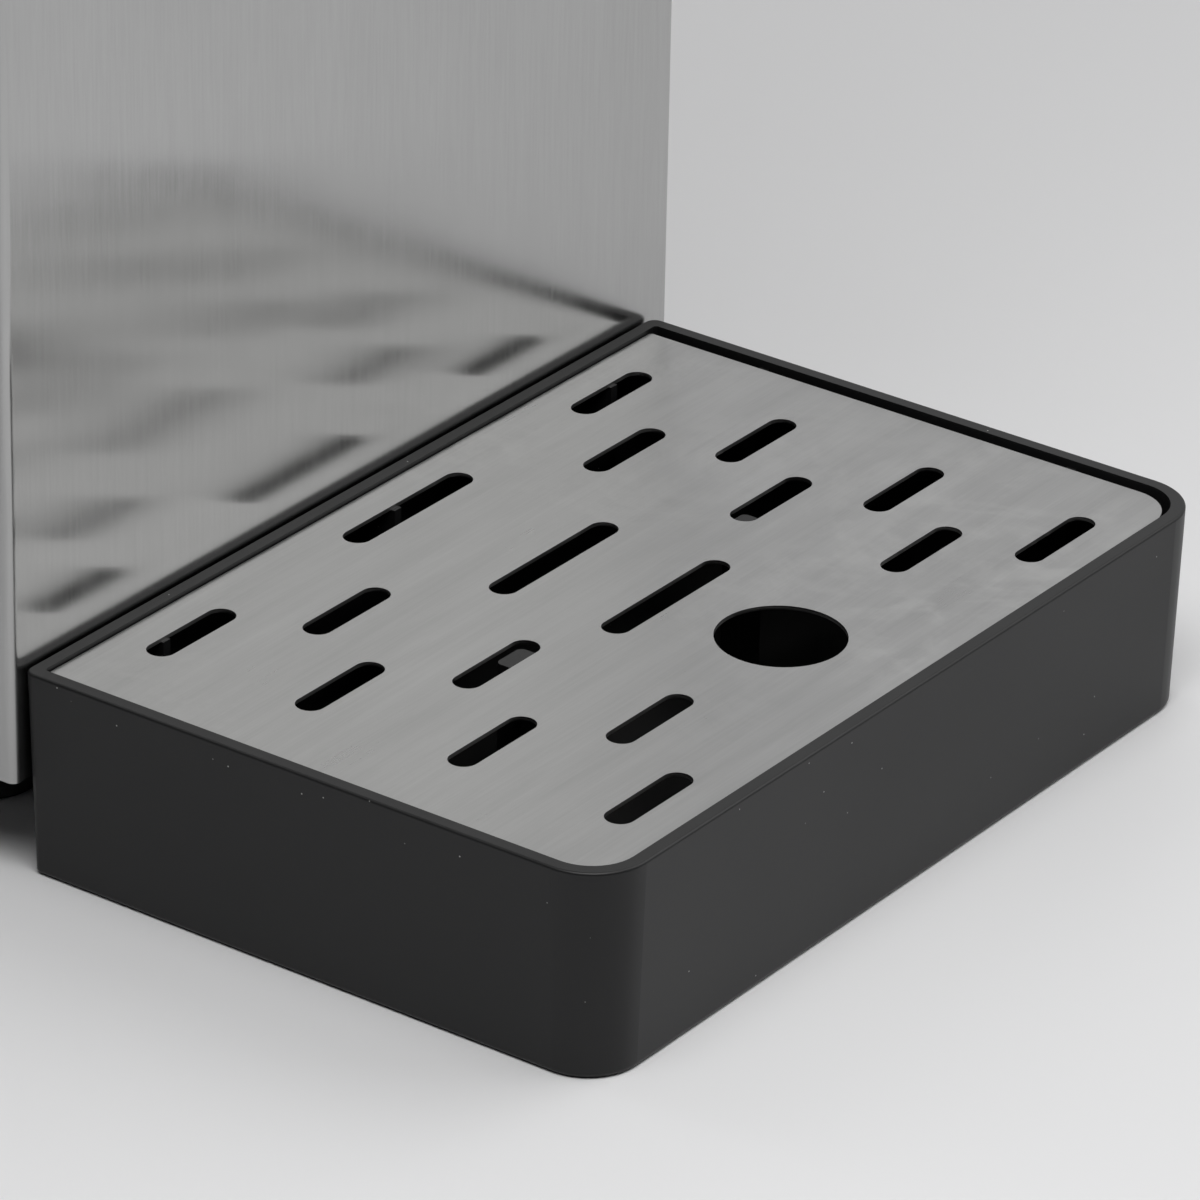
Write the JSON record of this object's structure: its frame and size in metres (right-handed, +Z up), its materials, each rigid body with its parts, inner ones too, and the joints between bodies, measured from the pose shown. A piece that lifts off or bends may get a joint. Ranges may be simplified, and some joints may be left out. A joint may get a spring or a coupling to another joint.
{
  "type": "countertop water dispenser",
  "caption": "Countertop water dispenser: brushed steel box on rubber feet, black head with push buttons over steel spouts, and a black drip tray with a lift-out slotted steel grate.",
  "frame": {"origin": "table top, under the middle of the whole object's footprint, with the drip tray in its place", "axes": "+X to the user's right, +Y away from the user, +Z up"},
  "size_m": [0.2526, 0.5579, 0.424],
  "materials": {
    "brushed_steel_body": "vertical brushed stainless sheet",
    "brushed_steel_grate": "stainless plate brushed along its slots",
    "brushed_steel_plate": "fine brushed stainless control plate",
    "tray_black": "satin black moulded plastic",
    "shell_black": "satin black moulded plastic",
    "button_black": "smooth black button caps",
    "bezel_chrome": "polished rings",
    "lamp_lens": "small clear indicator lenses",
    "light_lens": "frosted light bar",
    "spout_steel": "polished stainless tube",
    "galvanised": "galvanised folded sheet",
    "rear_paint": "black powder-coated sheet",
    "foot_rubber": "black rubber",
    "zinc_fixings": "zinc-plated screws, nuts and studs",
    "fitting_plastic": "pale acetal fittings",
    "switch_black": "black electrical mouldings",
    "rocker_red": "red rocker key",
    "rocker_green": "green rocker key",
    "thermostat_body": "plated thermostat case",
    "rating_foil": "blank aluminium plate",
    "tank_steel": "thin welded stainless tank",
    "copper": "bare copper pipe",
    "foam_white": "moulded expanded foam",
    "jacket_grey": "fibre insulating sleeve",
    "heater_metal": "sheathed heating element",
    "compressor_black": "black painted pressed steel",
    "condenser_aluminium": "bare aluminium fins",
    "fan_black": "black moulded fan",
    "valve_plastic": "white solenoid valves",
    "hose_silicone": "translucent silicone hose",
    "board_green": "circuit board",
    "box_grey": "grey moulded box",
    "cable_black": "sheathed cable"
  },
  "bodies": {
    "cabinet": {"base_pan": "galvanised", "bracket_bolts": "zinc_fixings", "button_bezels": "bezel_chrome", "cold_spout": "spout_steel", "cold_tank": "tank_steel", "compressor": "compressor_black", "compressor_grommets": "foot_rubber", "compressor_studs": "zinc_fixings", "condenser": "condenser_aluminium", "control_board": "board_green", "control_plate": "brushed_steel_plate", "drain_spigot": "fitting_plastic", "evaporator_coil": "copper", "fan_frame": "fan_black", "fitting_nuts": "fitting_plastic", "foot_front_left": "foot_rubber", "foot_front_right": "foot_rubber", "foot_rear_left": "foot_rubber", "foot_rear_right": "foot_rubber", "foot_screws": "zinc_fixings", "head_bracket": "galvanised", "head_shell": "shell_black", "heater_element": "heater_metal", "hot_jacket": "jacket_grey", "hot_spout": "spout_steel", "hot_tank": "tank_steel", "hot_tank_stand": "galvanised", "indicator_lamps": "lamp_lens", "inlet_valve": "valve_plastic", "insulation_front": "foam_white", "insulation_rear": "foam_white", "outlet_valves": "valve_plastic", "power_box": "box_grey", "power_inlet": "switch_black", "rating_plate": "rating_foil", "rear_panel": "rear_paint", "rear_panel_screws": "zinc_fixings", "refrigerant_pipes": "copper", "spout_collar": "shell_black", "steel_wrap": "brushed_steel_body", "switch_frames": "switch_black", "thermostat": "thermostat_body", "top_cover": "shell_black", "top_cover_screws": "zinc_fixings", "valve_bracket": "galvanised", "water_hoses": "hose_silicone", "water_inlet": "fitting_plastic", "wiring": "cable_black", "work_light": "light_lens"},
    "tray": {"drip_tray": "tray_black"},
    "grate": {"drip_grate": "brushed_steel_grate"},
    "cold_button": {"cold_button": "button_black"},
    "ambient_button": {"ambient_button": "button_black"},
    "hot_button": {"hot_button": "button_black"},
    "hot_lock_button": {"hot_lock_button": "button_black"},
    "power_rocker": {"power_switch": "rocker_green"},
    "heater_rocker": {"heater_switch": "rocker_red"},
    "thermostat_knob": {"thermostat_knob": "switch_black"},
    "fan_rotor": {"fan_rotor": "fan_black"},
    "drain_cap": {"drain_cap": "foot_rubber"}
  },
  "joints": [
    {"name": "tray_slide", "type": "slide", "parent": "cabinet", "child": "tray", "axis": [0, -1, 0], "range_m": [0, 0.18]},
    {"name": "grate_lift", "type": "slide", "parent": "tray", "child": "grate", "axis": [0, 0, 1], "range_m": [0, 0.08]},
    {"name": "cold_button_press", "type": "slide", "parent": "cabinet", "child": "cold_button", "axis": [0, 0.6298, -0.7768], "range_m": [0, 0.0025], "stiffness_N_per_m": 300, "springref_m": -0.0015},
    {"name": "ambient_button_press", "type": "slide", "parent": "cabinet", "child": "ambient_button", "axis": [0, 0.6298, -0.7768], "range_m": [0, 0.0025], "stiffness_N_per_m": 300, "springref_m": -0.0015},
    {"name": "hot_button_press", "type": "slide", "parent": "cabinet", "child": "hot_button", "axis": [0, 0.6298, -0.7768], "range_m": [0, 0.0025], "stiffness_N_per_m": 300, "springref_m": -0.0015},
    {"name": "hot_lock_button_press", "type": "slide", "parent": "cabinet", "child": "hot_lock_button", "axis": [0, 0.6298, -0.7768], "range_m": [0, 0.0025], "stiffness_N_per_m": 300, "springref_m": -0.0015},
    {"name": "power_rocker_tilt", "type": "hinge", "parent": "cabinet", "child": "power_rocker", "pos_m": [-0.094, 0.25295, 0.108], "axis": [1, 0, 0], "range_deg": [0, 20]},
    {"name": "heater_rocker_tilt", "type": "hinge", "parent": "cabinet", "child": "heater_rocker", "pos_m": [-0.066, 0.25295, 0.108], "axis": [1, 0, 0], "range_deg": [0, 20]},
    {"name": "thermostat_turn", "type": "hinge", "parent": "cabinet", "child": "thermostat_knob", "pos_m": [-0.08, 0.25495, 0.152], "axis": [0, 1, 0], "range_deg": [0, 270]},
    {"name": "fan_spin", "type": "hinge", "parent": "cabinet", "child": "fan_rotor", "pos_m": [-0.038, 0.18795, 0.262], "axis": [0, 1, 0], "continuous": true},
    {"name": "drain_cap_pull", "type": "slide", "parent": "cabinet", "child": "drain_cap", "axis": [0, 1, 0], "range_m": [0, 0.02]}
  ]
}
